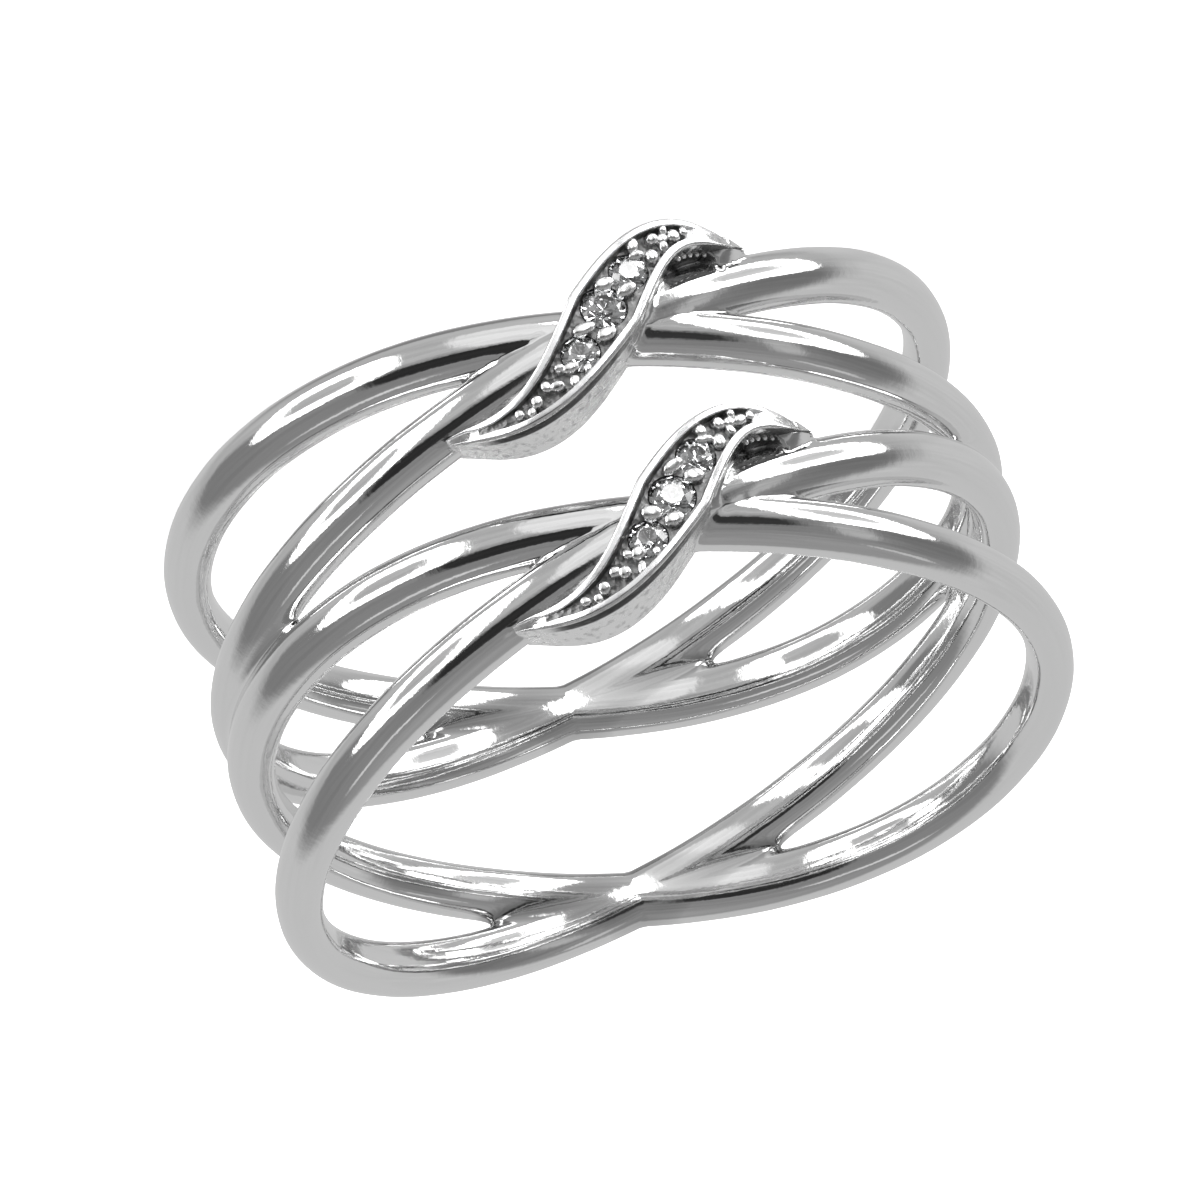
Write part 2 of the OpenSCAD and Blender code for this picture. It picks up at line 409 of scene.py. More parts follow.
def plate_field(phi, z, r):
    """The metal under a plate. Its walls lie a little inside the plate, with a low floor between them.

    At the upper right tip they rise to the plate's top and spread, so the tip runs smoothly into the
    wire. A low web closes the valley between each tail and the wire beside it."""
    near, u, slope, t = plate_place(phi, z)
    at_tip = smooth_step(-t, *TIP_MERGE)
    half_w = plate_half_w(t) + PLATE_INSET * (2 * at_tip - 1)
    in_valley = smooth_step(-t * np.sign(u), WEB_ONSET * VALLEY_START, VALLEY_START)
    web = WEB_REACH * smooth_step(r, *WEB_TOP)
    side = np.abs(u) - half_w - in_valley * np.maximum(web, TIP_SPREAD * at_tip)
    skirt = SKIRT_SLOPE * np.maximum(np.abs(u) - plate_half_w(t), 0)
    hidden = OUTER_R - FLOOR_DROP + FLOOR_SLOPE * np.abs(u) + FLOOR_RISE * at_tip
    shown = plate_top(t) - WALL_MARGIN * (1 - at_tip) - skirt * at_tip
    top = (r - np.minimum(hidden, shown)) * FLOOR_EASE
    foot = INNER_R + PLATE_FOOT + PLATE_INSET - r
    end = np.hypot(OUTER_R * (phi - near), z - plate_height(near)) * (np.abs(t) > PAST_TIP) - half_w
    d = np.maximum(np.maximum(side, top), np.maximum(foot, end))
    outward = np.where(d == top, 1.0, np.where(d == foot, -1.0, 0.0))
    across = np.sign(u) * (outward == 0)
    return d, ring_direction(across, outward, slope)


def blend(one, other, width):
    """Joins two fields with a fillet. Surfaces that lie flush with each other keep their place."""
    d1, g1 = one
    d2, g2 = other
    likeness = (1 + (g1 * g2).sum(-1)) / 2
    width = np.maximum(width * (1 - likeness**2), 1e-5)
    h = np.clip(1 - np.abs(d1 - d2) / width, 0, 1)
    share = np.clip(0.5 + (d2 - d1) / width / 2, 0, 1)[..., None]
    g = g1 * share + g2 * (1 - share)
    g = g / np.maximum(np.linalg.norm(g, axis=-1, keepdims=True), 1e-6)
    return np.minimum(d1, d2) - h * h * width / 4, g


def ripple(points, length):
    """A smooth unevenness between about -1 and 1 with bumps of the given length."""
    x, y, z = np.moveaxis(points * (2 * np.pi / length), -1, 0)
    wave = np.sin(x + 1.7 * np.sin(0.61 * y + 0.8)) + np.sin(1.13 * y + 1.9 * np.sin(0.57 * z + 2.1))
    return (wave + np.sin(0.91 * z + 1.8 * np.sin(0.67 * x + 4.4))) / 3


def ring_place(points, band):
    """Angle, height and distance from the axis of points in a band's own frame."""
    own = of_band(points, band)
    return np.arctan2(own[..., 0], -own[..., 1]), own[..., 2], np.hypot(own[..., 0], own[..., 1])


def nearness(one, other, width):
    """1 where both surfaces pass through a point, falling to 0 at the given distance from either."""
    return np.clip(1 - np.maximum(np.abs(one[0]), np.abs(other[0])) / width, 0, 1)


def metal_field(points):
    """Distance to the cast and soldered metal without the plates' outer shells."""
    joined = None
    for band in BANDS:
        phi, z, r = ring_place(points, band)
        over = wire_field(phi, z, r, True)
        under = wire_field(phi, z, r, False)
        to_back = smooth_step(np.abs(phi), *BACK_ZONE)
        wires = blend(over, under, FRONT_FILLET + (BACK_FILLET - FRONT_FILLET) * to_back)
        plate = plate_field(phi, z, r)
        distance, direction = blend(wires, plate, PLATE_FILLET)
        lumps = SOLDER_BIAS + ripple(points, SOLDER_LENGTH)
        in_front = smooth_step(np.abs(phi), *SOLDER_FADE) * smooth_step(r, *LUMPY_SIDE)
        solder = SOLDER_RIPPLE * nearness(wires, plate, SOLDER_WIDTH) ** 2
        solder = solder + CROTCH_RIPPLE * nearness(over, under, CROTCH_WIDTH) ** 2
        metal = (distance - in_front * solder * lumps, direction)
        joined = metal if joined is None else blend(joined, metal, SIDE_FILLET)
    return joined[0] - POLISH_RIPPLE * ripple(points, POLISH_LENGTH)


def wear_and_shade_of(points):
    """Where points lie on their wire in millimetres, how clear of other wires, and how much painted
    shade they get.
    """
    distances = []
    places = []
    painted_shade = np.zeros(len(points))
    for band in BANDS:
        phi, z, r = ring_place(points, band)
        fields = []
        for over in (True, False):
            near, u, v, _ = wire_place(phi, z, r, over)
            fields.append(wire_field(phi, z, r, over))
            distances.append(np.abs(fields[-1][0]))
            places.append(np.stack([near * WIRE_R, u, v], -1))
        likeness = (1 + (fields[0][1] * fields[1][1]).sum(-1)) / 2
        to_back = smooth_step(np.abs(phi), *HOLLOW_ZONE)
        crotch = nearness(fields[0], fields[1], HOLLOW_WIDTH) * (1 - likeness**4) * to_back
        _, u, _, t = plate_place(phi, z)
        wall = np.clip(1 - (np.abs(u) - plate_half_w(t)) / VALLEY_WIDTH, 0, 1)
        valley = wall * smooth_step(-t * np.sign(u), *VALLEY_SHADE_ZONE)
        valley = valley * (1 - smooth_step(-t, *TIP_MERGE))
        outside = smooth_step(r, *SHADED_SIDE) * (np.abs(t) < SHADE_END)
        # Painted shade: the base colour darkens in the crotches at the back and in the valleys beside
        # the plates, where shade falls.
        painted_shade = np.maximum(painted_shade, np.maximum(np.sqrt(crotch), np.sqrt(valley) * outside))
    distances = np.stack(distances)
    clear = smooth_step(np.sort(distances, axis=0)[1], *LINES_FADE)
    nearest = distances.argmin(0)
    return np.stack(places)[nearest, np.arange(len(points))], clear, painted_shade


# Meshing
CORNERS = [(i, j, k) for i in (0, 1) for j in (0, 1) for k in (0, 1)]
CELL_EDGES = [
    (a, b)
    for a in range(8)
    for b in range(a + 1, 8)
    if sum(abs(p - q) for p, q in zip(CORNERS[a], CORNERS[b])) == 1
]


def softened(values):
    """The grid's values, evened out over their neighbours so that slivers of metal don't break up."""
    for axis in (1, 2):
        values = (np.roll(values, 1, axis) + 2 * values + np.roll(values, -1, axis)) / 4
    return values


def fill_pinches(values):
    """Fill each corner of the grid at which two bits of metal would touch only along an edge."""
    for _ in range(PINCH_ROUNDS):
        for first, second in ((0, 1), (0, 2), (1, 2)):
            inside = values < 0
            ahead = np.roll(inside, -1, first)
            beside = np.roll(inside, -1, second)
            across = np.roll(ahead, -1, second)
            corner = np.roll(inside & across & ~ahead & ~beside, 1, first)
            values[~inside & ~across & ahead & beside] = -PINCH_DEPTH
            values[corner] = -PINCH_DEPTH


def surface_net(values):
    """Points, in grid steps, and quads of the surface where values cross 0.

    The first axis is a closed loop. Each cell that the surface passes through holds one point."""
    n, m, l = values.shape
    inside = values < 0
    count = np.zeros((n, m - 1, l - 1), int)
    for i, j, k in CORNERS:
        count += np.roll(inside, -i, 0)[:, j : m - 1 + j, k : l - 1 + k]
    cells = np.argwhere((count > 0) & (count < 8))
    number = np.full((n, m - 1, l - 1), -1)
    number[tuple(cells.T)] = np.arange(len(cells))
    around, up, out = cells.T
    at = np.array([values[(around + i) % n, up + j, out + k] for i, j, k in CORNERS])
    total = np.zeros((len(cells), 3))
    hits = np.zeros(len(cells))
    for a, b in CELL_EDGES:
        cross = (at[a] < 0) != (at[b] < 0)
        share = at[a] / np.where(cross, at[a] - at[b], 1)
        start = np.array(CORNERS[a])
        total += (start + share[:, None] * (np.array(CORNERS[b]) - start)) * cross[:, None]
        hits += cross
    points = cells + total / hits[:, None]
    quads = []
    for axis in range(3):
        ahead = np.roll(inside, -1, axis)
        edges = np.argwhere(inside != ahead)
        low = np.array([0, 1, 1])
        high = np.array([n - 1, m - 2, l - 2])
        edges = edges[((edges >= low) & (edges <= high)).all(1)]
        leaving = inside[tuple(edges.T)]
        u, v = [(1, 2), (2, 0), (0, 1)][axis]
        ring = []
        for du, dv in ((1, 1), (0, 1), (0, 0), (1, 0)):
            cell = edges.copy()
            cell[:, u] -= du
            cell[:, v] -= dv
            ring.append(number[cell[:, 0] % n, cell[:, 1], cell[:, 2]])
        ring = np.stack(ring, 1)
        quads.append(np.where(leaving[:, None], ring, ring[:, ::-1]))
    return points, np.concatenate(quads)


def slope_of(field, points):
    """A field's gradient by small differences."""
    gradient = np.empty_like(points)
    for axis in range(3):
        move = np.zeros(3)
        move[axis] = SLOPE_STEP
        gradient[:, axis] = (field(points + move) - field(points - move)) / (2 * SLOPE_STEP)
    return gradient


def skin_of(field):
    """The closed skin of a field on a grid round the ring: its points, normals and quads."""
    n = round(2 * np.pi * WIRE_R / STEP_ALONG)
    phi = np.arange(n) * 2 * np.pi / n
    z = np.arange(-SKIN_REACH, SKIN_REACH, STEP_ACROSS)
    r = np.arange(*SKIN_R, STEP_OUT)
    values = np.stack([field(on_ring(p, *np.meshgrid(z, r, indexing="ij"))) for p in phi])
    values = softened(values)
    fill_pinches(values)
    steps, quads = surface_net(values)
    along, across, outward = steps.T * np.array([[2 * np.pi / n], [STEP_ACROSS], [STEP_OUT]])
    points = on_ring(along, z[0] + across, r[0] + outward)
    for _ in range(PULLS):
        gradient = slope_of(field, points)
        size = np.maximum((gradient**2).sum(1), LEAST_STEEPNESS)
        pull = np.clip(field(points), -LONGEST_PULL, LONGEST_PULL) / size
        points = points - gradient * pull[:, None]
    normals = slope_of(field, points)
    normals /= np.linalg.norm(normals, axis=1, keepdims=True)
    return points, normals, quads


def settled(points):
    """Points of the ring's frame as it lies tilted at rest, before it is moved onto the floor."""
    x, y, z = np.moveaxis(tilt_x(points, REST_TILT), -1, 0)
    c = math.cos(REST_ROLL)
    s = math.sin(REST_ROLL)
    return np.stack([x * c + z * s, y, z * c - x * s], -1)


def rest_shift():
    """Moves the ring's lowest point onto the floor and its box's middle over the origin."""
    phi = np.linspace(-np.pi, np.pi, REST_STATIONS)[:, None]
    a = np.linspace(0, 2 * np.pi, REST_SECTION)[None]
    flat = np.where(np.sin(a) < 0, INSIDE_POWER, 1.0)
    across = WIRE_W / 2 * np.sign(np.cos(a)) * np.abs(np.cos(a)) ** flat
    above = WIRE_T / 2 * np.sign(np.sin(a)) * np.abs(np.sin(a)) ** flat
    wires = []
    for band in BANDS:
        for over in (True, False):
            r = WIRE_R + wire_lift(phi, over)
            line = beside(phi, wire_height(phi, over), r, wire_slope(phi, over), across, above)
            wires.append(settled(in_band(line, band)))
    wires = np.stack(wires)
    t = np.linspace(-1, 1, REST_TOPS)
    phi = t * of_tail(TAIL_REACH, t)
    tops = [settled(in_band(on_ring(phi, plate_height(phi), plate_top(t)), band)) for band in BANDS]
    middle_y = (np.min(np.stack(tops)[..., 1]) + wires[..., 1].max()) / 2
    return np.array([0, -middle_y, -wires[..., 2].min()])


SHIFT = rest_shift()


def at_rest(points):
    """Points of the ring's frame where they lie at rest, in metres."""
    return (settled(points) + SHIFT) * MM


def link_object(name, data):
    """A new object of the scene that shows a mesh, a light or a camera."""
    obj = bpy.data.objects.new(name, data)
    bpy.context.scene.collection.objects.link(obj)
    return obj


def add_values(mesh, name, values):
    """Gives each point of a mesh a number, or a vector, that its material reads by name."""
    kind, key = ("FLOAT", "value") if values.ndim == 1 else ("FLOAT_VECTOR", "vector")
    mesh.attributes.new(name, kind, "POINT").data.foreach_set(key, values.ravel())


def new_object(name, points, faces, material, normals=None):
    """A smooth object from points in the ring's frame, in millimetres."""
    mesh = bpy.data.meshes.new(name)
    mesh.from_pydata(at_rest(points).tolist(), [], faces)
    mesh.materials.append(material)
    mesh.polygons.foreach_set("use_smooth", [True] * len(mesh.polygons))
    if normals is not None:
        mesh.normals_split_custom_set_from_vertices(settled(normals).tolist())
    mesh.update()
    return link_object(name, mesh)


# Materials
def add_node(tree, kind, inputs, **settings):
    """A new node, with each named input set to a value or linked to another node's output."""
    node = tree.nodes.new("ShaderNode" + kind)
    for key, value in settings.items():
        setattr(node, key, value)
    connect(tree, node, inputs)
    return node


def connect(tree, node, inputs):
    """Sets or links a node's inputs, each given by its name or number."""
    for key, value in inputs.items():
        if isinstance(value, bpy.types.NodeSocket):
            tree.links.new(value, node.inputs[key])
        else:
            node.inputs[key].default_value = value


def noise(tree, scale, detail, place=None, stretch=(1, 1, 1)):
    """Noise over the object's own coordinates, in metres, or others. The scale is in bumps a unit."""
    if place is None:
        place = add_node(tree, "TexCoord", {}).outputs["Object"]
    mapping = add_node(tree, "Mapping", {"Vector": place, "Scale": stretch})
    inputs = {"Vector": mapping.outputs["Vector"], "Scale": scale, "Detail": detail}
    return add_node(tree, "TexNoise", inputs).outputs["Fac"]


def ranged(tree, value, low, high, start=NOISE_LOW, end=NOISE_HIGH):
    """A value between start and end, stretched to run from low to high."""
    limits = {"From Min": start, "From Max": end, "To Min": low, "To Max": high}
    return add_node(tree, "MapRange", {"Value": value, **limits}).outputs["Result"]


def bump(tree, height, distance, strength, below=None):
    """A bump's normal, on top of the one below it."""
    inputs = {"Height": height, "Distance": distance, "Strength": strength}
    if below is not None:
        inputs["Normal"] = below
    return add_node(tree, "Bump", inputs).outputs["Normal"]


def calc(tree, operation, *values):
    """The result of a Math node."""
    return add_node(tree, "Math", dict(enumerate(values)), operation=operation).outputs["Value"]


def attribute(tree, name, output="Fac"):
    return add_node(tree, "Attribute", {}, attribute_name=name).outputs[output]


def new_material(name, inputs_of):
    """A material whose shader's inputs come from a function of its node tree."""
    material = bpy.data.materials.new(name)
    material.use_nodes = True
    tree = material.node_tree
    connect(tree, tree.nodes["Principled BSDF"], inputs_of(tree))
    return material


def drawn_lines(tree):
    """Fine lines along the wires, which fade out where wires meet."""
    place = attribute(tree, "wire_place", "Vector")
    lines = noise(tree, scale=8, detail=3, place=place, stretch=(0.04, 1, 1))
    return calc(tree, "MULTIPLY", lines, attribute(tree, "wire_clear"))


def polished_metal(tree):
    """Mirror-polished wires with fine drawn lines and small pits, and painted shade in their crotches
    and hollows.
    """
    lines = bump(tree, drawn_lines(tree), distance=0.0000025, strength=1.0)
    pits = bump(tree, noise(tree, 6000, 5), distance=0.000005, strength=0.5, below=lines)
    return {
        # Painted shade darkens the base colour in the crotches and hollows.
        "Base Color": ranged(tree, attribute(tree, "painted_shade"), 0.8, 0.3, start=0, end=1),
        "Metallic": 1,
        "Roughness": ranged(tree, noise(tree, 900, 4), 0.03, 0.1),
        "Normal": bump(tree, noise(tree, 1100, 2), distance=0.000015, strength=0.35, below=pits),
    }


def cast_metal(tree):
    """The plates' side walls: less polished and a little pitted, with painted shade where they lie deep
    and under the right rim.
    """
    # Painted shade: the base colour darkens in the valleys and under the right rim.
    depth = ranged(tree, attribute(tree, "painted_shade"), 0.85, 0.04, start=0, end=1)
    pits = ranged(tree, noise(tree, 5200, 4), 0.7, 1.0, start=0.32, end=0.48)
    grain = bump(tree, noise(tree, 4200, 5), distance=0.00005, strength=0.6)
    return {
        "Base Color": calc(tree, "MULTIPLY", depth, pits),
        "Metallic": 1,
        "Roughness": ranged(tree, noise(tree, 2500, 3), 0.14, 0.3),
        "Normal": bump(tree, noise(tree, 1300, 2), distance=0.00006, strength=0.4, below=grain),
    }


def cut_metal(tree):
    """The graver-cut floor of the troughs: rough, and dark with painted shade."""
    place = add_node(tree, "TexCoord", {}).outputs["Object"]
    cuts = add_node(tree, "TexVoronoi", {"Vector": place, "Scale": 7000}).outputs["Distance"]
    return {
        # Painted shade: a dark base colour for the recessed trough floor.
        "Base Color": ranged(tree, noise(tree, 5000, 3), 0.2, 0.38),
        "Metallic": 1,
        "Roughness": ranged(tree, noise(tree, 6000, 3), 0.35, 0.55),
        "Normal": bump(tree, cuts, distance=0.00004, strength=0.8),
    }


def rim_metal(tree):
    """The plates' rims: burnished and soft enough to be bright all along, with a painted highlight in a
    base colour brighter than the wires'.
    """
    return {
        # Painted highlight: a base colour brighter than the wires'.
        "Base Color": (0.97, 0.97, 0.975, 1),
        "Metallic": 1,
        "Roughness": ranged(tree, noise(tree, 1800, 3), 0.2, 0.34),
        "Normal": bump(tree, noise(tree, 2600, 2), distance=0.00003, strength=0.4),
    }


def bead_metal(tree):
    """The burnished beads, with a painted highlight in a base colour brighter than the rest."""
    return {
        # Painted highlight: a base colour brighter than the wires'.
        "Base Color": (0.98, 0.98, 0.98, 1),
        "Metallic": 1,
        "Roughness": ranged(tree, noise(tree, 9000, 2), 0.2, 0.34),
        "Normal": bump(tree, noise(tree, 5000, 2), distance=0.00002, strength=0.4),
    }


def clear_stone(tree):
    """A polished stone with a high index of refraction."""
    return {"Base Color": (0.98, 0.99, 1, 1), "Roughness": 0.0, "IOR": 2.4, "Transmission Weight": 1}


METAL = new_material("polished_metal", polished_metal)
CAST_METAL = new_material("cast_metal", cast_metal)
CUT_METAL = new_material("cut_metal", cut_metal)
RIM_METAL = new_material("rim_metal", rim_metal)
BEAD_METAL = new_material("bead_metal", bead_metal)
STONE = new_material("clear_stone", clear_stone)


# Pieces
def wires_piece():
    """The four wires with the fillets and solder that join them."""
    points, normals, quads = skin_of(metal_field)
    obj = new_object("wires", points, quads.tolist(), METAL, normals)
    place, clear, painted_shade = wear_and_shade_of(points)
    add_values(obj.data, "wire_place", place)
    add_values(obj.data, "wire_clear", clear)
    add_values(obj.data, "painted_shade", painted_shade)
    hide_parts("double_band")
    return obj


def arc(centre, radius, start, end):
    """Points of an arc in a section, from one angle to another in degrees."""
    angles = np.radians(np.linspace(start, end, EDGE_STEPS + 1))
    return [(centre[0] + radius * np.cos(a), centre[1] + radius * np.sin(a)) for a in angles]


def plate_half_section(t):
    """The right half of a plate's section, from its foot over the rim down to the trough's floor."""
    w = float(plate_half_w(t))
    top = float(plate_top(t))
    inner = float(trough_half_w(t))
    depth = float(trough_depth(t))
    outer_edge = min(OUTER_EDGE_R, (w - inner) * OUTER_EDGE_SHARE)
    inner_edge = min(INNER_EDGE_R, (w - inner) * INNER_EDGE_SHARE, depth * INNER_EDGE_DEPTH)
    low = INNER_R + PLATE_FOOT
    wall = [(w - FOOT_EDGE, low), (w, low + FOOT_EDGE)]
    wall += [(w, low + (top - outer_edge - low) * share) for share in WALL_SHARES]
    rim = arc((w - outer_edge, top - outer_edge), outer_edge, 0, 90)
    rim += arc((inner + inner_edge, top - inner_edge), inner_edge, 90, 180)
    floor = [(inner * share, top - depth * down) for share, down in FLOOR_SHARES]
    return wall + rim + floor


def wall_shade(t, count):
    """How much painted shade a section's points get: in the valley beside a tail, and a painted shadow
    just under the right rim.
    """
    right = np.arange(count) < count / 2
    side = np.minimum(np.arange(count), count - 1 - np.arange(count))
    into_tail = np.where(right, -t, t)
    valley = VALLEY_SHADE * smooth_step(into_tail, *VALLEY_SHADE_FADE)
    # A painted shadow: a dark line just under the right rim.
    line = smooth_step(t, *LINE_START) * smooth_step(t, *LINE_END)
    line = line * right * (side >= WALL_END - 1)
    return np.maximum(valley, line) * (side <= WALL_END)


def face_slot(t, side):
    """The material slot of a plate's face. The side counts the section's points from its foot."""
    if side < RIM_START:
        return WALL
    if side < RIM_END - 1:
        return WALL if t < TIP_RIM_END else RIM
    clear = 1 - abs(t) - float(of_tail(BARE_TIP, t))
    if clear < -BRIDGE:
        return WALL
    return RIM if clear < float(of_tail(BRIGHT_END, t)) else TROUGH


def plate_piece(band):
    """An S plate: a closed sweep with seats cut for its stones."""
    rings = []
    shades = []
    for t in np.linspace(-1, 1, PLATE_STATIONS + 1):
        half = plate_half_section(t)
        section = np.array(half + [(-x, y) for x, y in half[::-1]])
        lean = TIP_LEAN * t**3 * section[:, 0] / float(plate_half_w(t))
        phi = t * float(of_tail(TAIL_REACH, t))
        above = section[:, 1] - OUTER_R - lean
        rings.append(beside(phi, plate_height(phi), OUTER_R, plate_slope(phi), section[:, 0], above))
        shades.append(wall_shade(t, len(section)))
    m = len(rings[0])
    faces = []
    slots = []
    for i in range(PLATE_STATIONS):
        for j in range(m):
            k = (j + 1) % m
            faces.append((i * m + j, i * m + k, (i + 1) * m + k, (i + 1) * m + j))
            slots.append(face_slot(2 * (i + 0.5) / PLATE_STATIONS - 1, min(j, m - 2 - j)))
    faces.append(tuple(range(m))[::-1])
    faces.append(tuple(PLATE_STATIONS * m + j for j in range(m)))
    slots += [WALL, WALL]
    points = in_band(np.concatenate(rings), band)
    obj = new_object(f"plate_{PLATE_NUMBER[band]}", points, faces, RIM_METAL)
    for material in (CAST_METAL, CUT_METAL):
        obj.data.materials.append(material)
    obj.data.polygons.foreach_set("material_index", slots)
    # Each point's painted shade, which the walls' material reads.
    add_values(obj.data, "painted_shade", np.concatenate(shades))
    cut_seats(obj, band)
    return obj


def floor_frame(band, phi, across):
    """A matrix, in metres, that puts Z out of a plate's trough floor at a place along and across it."""
    t = phi / float(of_tail(TAIL_REACH, phi))
    slope = float(plate_slope(phi))
    r = float(plate_top(t) - trough_depth(t))
    origin = beside(phi, plate_height(phi), OUTER_R, slope, across, r - OUTER_R)
    turn = phi - across * slope / math.sqrt(1 + slope * slope) / OUTER_R
    out = np.array([math.sin(turn), -math.cos(turn), 0])
    side = np.array([math.cos(turn), math.sin(turn), 0])
    base = in_band(np.stack([origin, origin + side, origin + out]), band)
    place = at_rest(base) / MM
    x = Vector(place[1] - place[0])
    z = Vector(place[2] - place[0])
    y = z.cross(x)
    matrix = Matrix((x, y, z)).transposed().to_4x4()
    matrix.translation = Vector(place[0])
    return Matrix.Scale(MM, 4) @ matrix


def lathe(profile, sides):
    """A closed turned solid from (radius, height) points that start and end on the axis."""
    points = [(0, 0, profile[0][1])]
    for radius, height in profile[1:-1]:
        for i in range(sides):
            a = 2 * math.pi * i / sides
            points.append((radius * math.cos(a), radius * math.sin(a), height))
    points.append((0, 0, profile[-1][1]))
    rows = len(profile) - 2
    last = len(points) - 1
    faces = []
    for i in range(sides):
        k = (i + 1) % sides
        faces.append((0, 1 + k, 1 + i))
        for row in range(rows - 1):
            a = 1 + row * sides
            faces.append((a + i, a + k, a + sides + k, a + sides + i))
        faces.append((last, 1 + (rows - 1) * sides + i, 1 + (rows - 1) * sides + k))
    return points, faces


def stone_number(band, place):
    return 3 * (PLATE_NUMBER[band] - 1) + place + 2


def stone_frame(band, place):
    """The frame of a stone's seat on the trough's floor."""
    along, across = STONE_SLIP.get(stone_number(band, place), (0, 0))
    return floor_frame(band, place * STONE_STEP + math.radians(along), across)


def seat_profile(d):
    depth = GIRDLE_SHARE * d + GIRDLE_SINK
    side = d / 2 + SEAT_GAP
    tip = depth + PAVILION_SHARE * d + SEAT_GAP
    return [(0, -tip), (side, -depth), (side, SEAT_TOP), (0, SEAT_TOP)]


def cut_seats(obj, band):
    """Cuts a seat under each stone of a plate."""
    cutter = bpy.data.meshes.new("seats")
    points = []
    faces = []
    for place in (-1, 0, 1):
        own, own_faces = lathe(seat_profile(STONE_D[place]), SEAT_SIDES)
        matrix = stone_frame(band, place)
        faces += [tuple(len(points) + i for i in face) for face in own_faces]
        points += [matrix @ Vector(p) for p in own]
    cutter.from_pydata(points, [], faces)
    for material in obj.data.materials:
        cutter.materials.append(material)
    cutter.polygons.foreach_set("material_index", [TROUGH] * len(faces))
    seats = link_object("seats", cutter)
    modifier = obj.modifiers.new("seats", "BOOLEAN")
    modifier.operation = "DIFFERENCE"
    modifier.solver = "MANIFOLD"
    modifier.object = seats
    graph = bpy.context.evaluated_depsgraph_get()
    mesh = bpy.data.meshes.new_from_object(obj.evaluated_get(graph))
    obj.modifiers.clear()
    obj.data = mesh
    bpy.data.objects.remove(seats)
    mesh.polygons.foreach_set("use_smooth", [True] * len(mesh.polygons))
    mesh.set_sharp_from_angle(angle=SHARP_ANGLE)


def brilliant(d):
    """Corners of a round brilliant with its girdle's top at z = 0. Its faces are their convex hull."""
    r = d / 2
    crown = CROWN_SHARE * d
    girdle = GIRDLE_SHARE * d
    pavilion = PAVILION_SHARE * d

    def turn(radius, steps, height):
        a = math.pi / 8 * steps
        return (radius * math.cos(a), radius * math.sin(a), height)

    crown_r, crown_h = CROWN_CORNER
    pavilion_r, pavilion_h = PAVILION_CORNER
    points = [turn(r * TABLE_SHARE, 2 * i, crown) for i in range(8)]
    points += [turn(r * crown_r, 2 * i + 1, crown * crown_h) for i in range(8)]
    points += [turn(r, i, 0) for i in range(16)]
    points += [turn(r, i, -girdle) for i in range(16)]
    points += [turn(r * pavilion_r, 2 * i + 1, -girdle - pavilion * pavilion_h) for i in range(8)]
    points.append((0, 0, -girdle - pavilion))
    return points


def object_of(shape, name, material):
    """An object from a finished bmesh in metres."""
    mesh = bpy.data.meshes.new(name)
    shape.to_mesh(mesh)
    shape.free()
    mesh.materials.append(material)
    return link_object(name, mesh)


def stone_piece(band, place):
    """A brilliant that stands for one of the part's stones."""
    index = stone_number(band, place)
    shape = bmesh.new()
    for p in brilliant(STONE_D[place]):
        shape.verts.new(p)
    hull = bmesh.ops.convex_hull(shape, input=shape.verts)
    loose = [v for v in hull["geom_interior"] if isinstance(v, bmesh.types.BMVert)]
    bmesh.ops.delete(shape, geom=loose, context="VERTS")
    bmesh.ops.recalc_face_normals(shape, faces=shape.faces)
    turned = stone_frame(band, place)
    twist = Matrix.Rotation(math.radians(STONE_TWIST * index), 4, "Z")
    drop = Matrix.Translation((0, 0, -GIRDLE_SINK))
    tilt = Matrix.Rotation(math.radians(STONE_TILT[index]), 4, "Y")
    shape.transform(turned @ drop @ tilt @ twist)
    obj = object_of(shape, f"gem_{index}", STONE)
    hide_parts(f"stone_{index}")
    return obj


def add_bead(shape, band, bead, chance):
    """Adds one bead to a bmesh: a ball that is stretched, slightly bent and flattened on top."""
    angle, across, width, length = bead
    angle = math.radians(angle + chance.uniform(-BEAD_WANDER, BEAD_WANDER))
    lift = Matrix.Translation((0, 0, BEAD_LIFT))
    turn = Matrix.Rotation(chance.uniform(-BEAD_TURN, BEAD_TURN), 4, "Z")
    lean = Matrix.Rotation(chance.uniform(-BEAD_LEAN, BEAD_LEAN), 4, "X")
    height = BEAD_HEIGHT * chance.uniform(*BEAD_HEIGHTS)
    size = Matrix.Diagonal((BEAD_SPREAD * width / 2, BEAD_SPREAD * length / 2, height, 1))
    ball = bmesh.ops.create_icosphere(shape, subdivisions=3, radius=1)
    bend = [chance.uniform(-BEAD_BEND, BEAD_BEND) for _ in range(4)]
    matrix = floor_frame(band, angle, across) @ lift @ turn @ lean @ size
    for vert in ball["verts"]:
        x, y, z = vert.co
        swell = 1 + bend[0] * x * y + bend[1] * y * z + bend[2] * (x * x - y * y) + bend[3] * x * z
        flat = 1 - BEAD_FLATNESS * max(z, 0) ** 2
        vert.co = matrix @ Vector((x * swell, y * swell, z * swell * flat))


def add_dot(shape, band, t):
    """Adds a small dot to a bmesh, in the valley beside a plate's upper right tail."""
    phi = t * TAIL_REACH[-1]
    above = float(plate_top(t)) - VALLEY_DOT_DROP - OUTER_R
    slope = float(plate_slope(phi))
    place = beside(phi, float(plate_height(phi)), OUTER_R, slope, float(plate_half_w(t)), above)
    spot = Matrix.Translation(Vector(at_rest(in_band(place, band))))
    bmesh.ops.create_icosphere(shape, subdivisions=2, radius=VALLEY_DOT_R * MM, matrix=spot)


